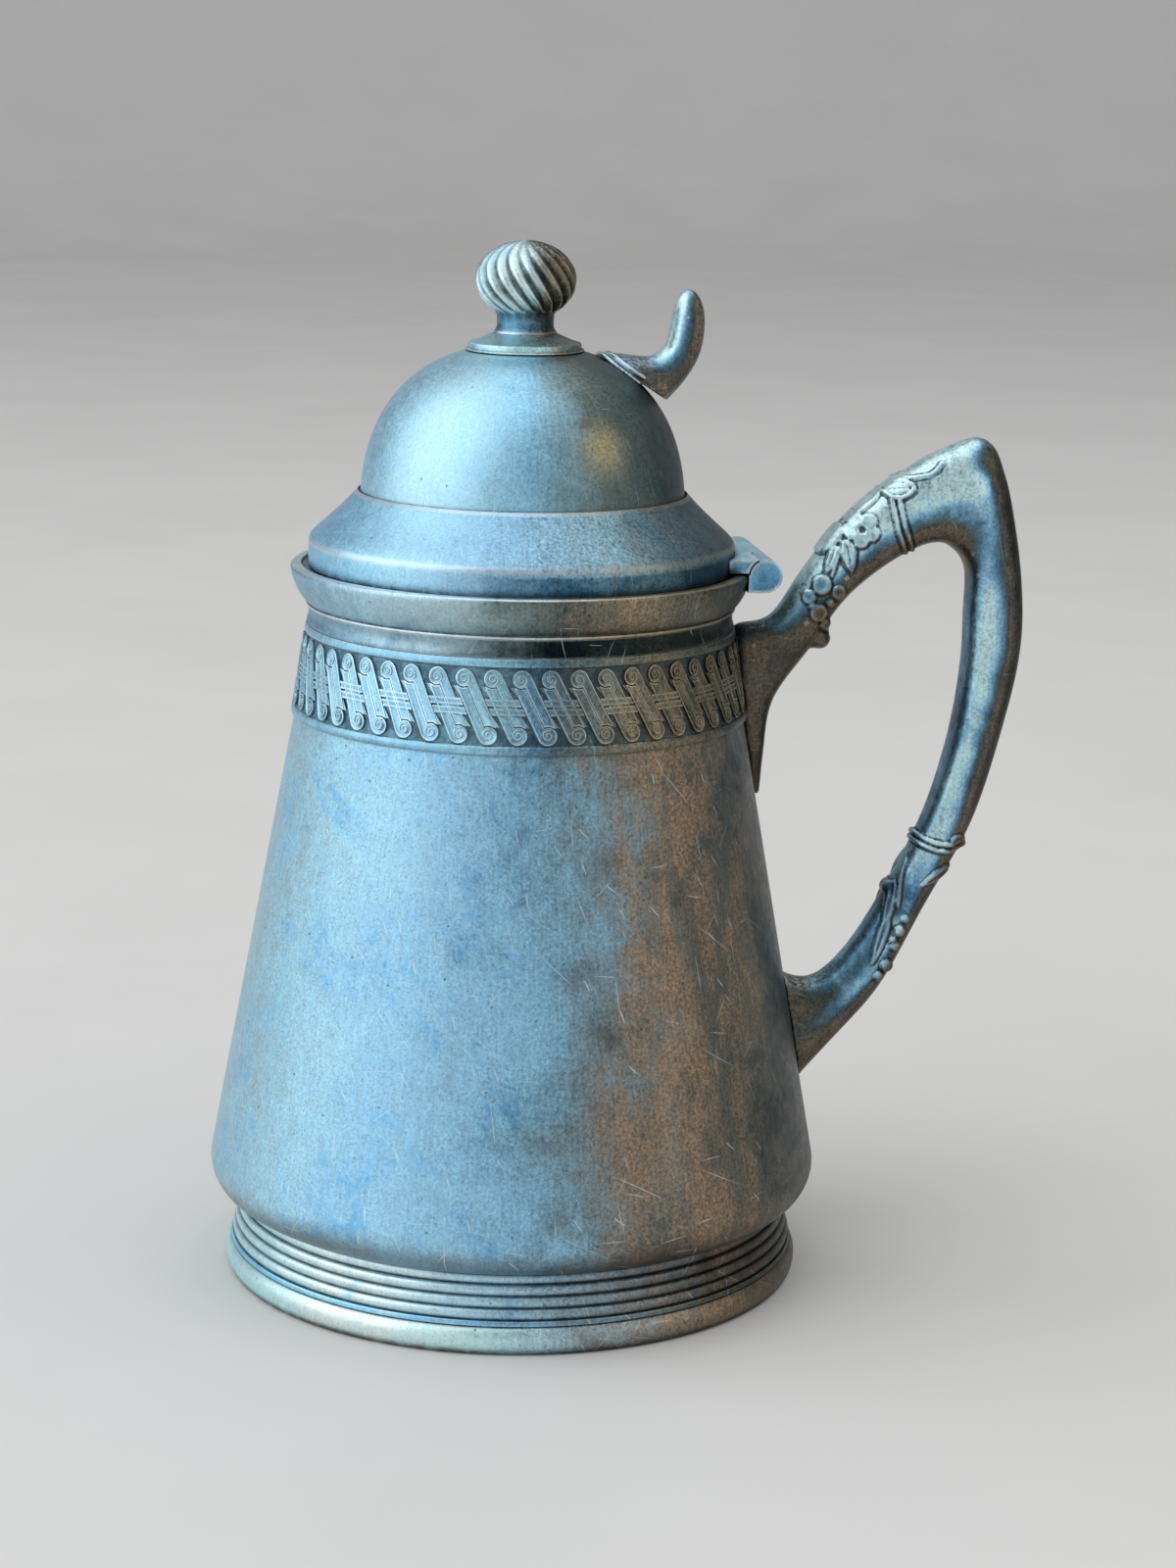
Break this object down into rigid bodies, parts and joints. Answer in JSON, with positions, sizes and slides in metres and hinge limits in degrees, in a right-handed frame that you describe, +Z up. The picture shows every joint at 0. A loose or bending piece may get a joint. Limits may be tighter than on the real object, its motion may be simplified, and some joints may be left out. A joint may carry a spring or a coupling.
{
  "type": "syrup pitcher",
  "caption": "Tapered silver-plated syrup pitcher on a reeded foot, with a strapwork band, a hinged domed lid with fluted finial and thumb lift, and a cast scroll handle.",
  "frame": {"origin": "centre of the foot, on the surface that the pitcher stands on", "axes": "+Z up along the axis of the body, +X towards the handle"},
  "size_m": [0.1406, 0.1054, 0.1777],
  "materials": {
    "plated_shell": "tarnished silver plate, scratched and blotched",
    "worn_plate": "worn silver plate, bright on its edges",
    "cast_handle": "cast and plated, brown tarnish in its hollows",
    "bare_metal": "dull bare white metal"
  },
  "bodies": {
    "pitcher": {"body_shell": "plated_shell", "bottom_disc": "bare_metal", "foot_ring": "worn_plate", "foot_bead": "worn_plate", "ornament_band": "plated_shell", "rim_collar": "plated_shell", "handle": "cast_handle", "hinge_block": "worn_plate", "hinge_pin": "bare_metal"},
    "lid": {"lid_skirt": "plated_shell", "lid_dome": "plated_shell", "lid_bezel": "bare_metal", "hinge_leaf": "worn_plate", "thumb_lift": "worn_plate", "finial_plate": "plated_shell", "finial_knob": "worn_plate", "finial_stud": "bare_metal", "finial_washer": "bare_metal", "finial_nut": "bare_metal"}
  },
  "joints": [
    {"name": "lid_hinge", "type": "hinge", "parent": "pitcher", "child": "lid", "pos_m": [0.03968, 0, 0.1232], "axis": [0, 1, 0], "range_deg": [0, 65]}
  ]
}
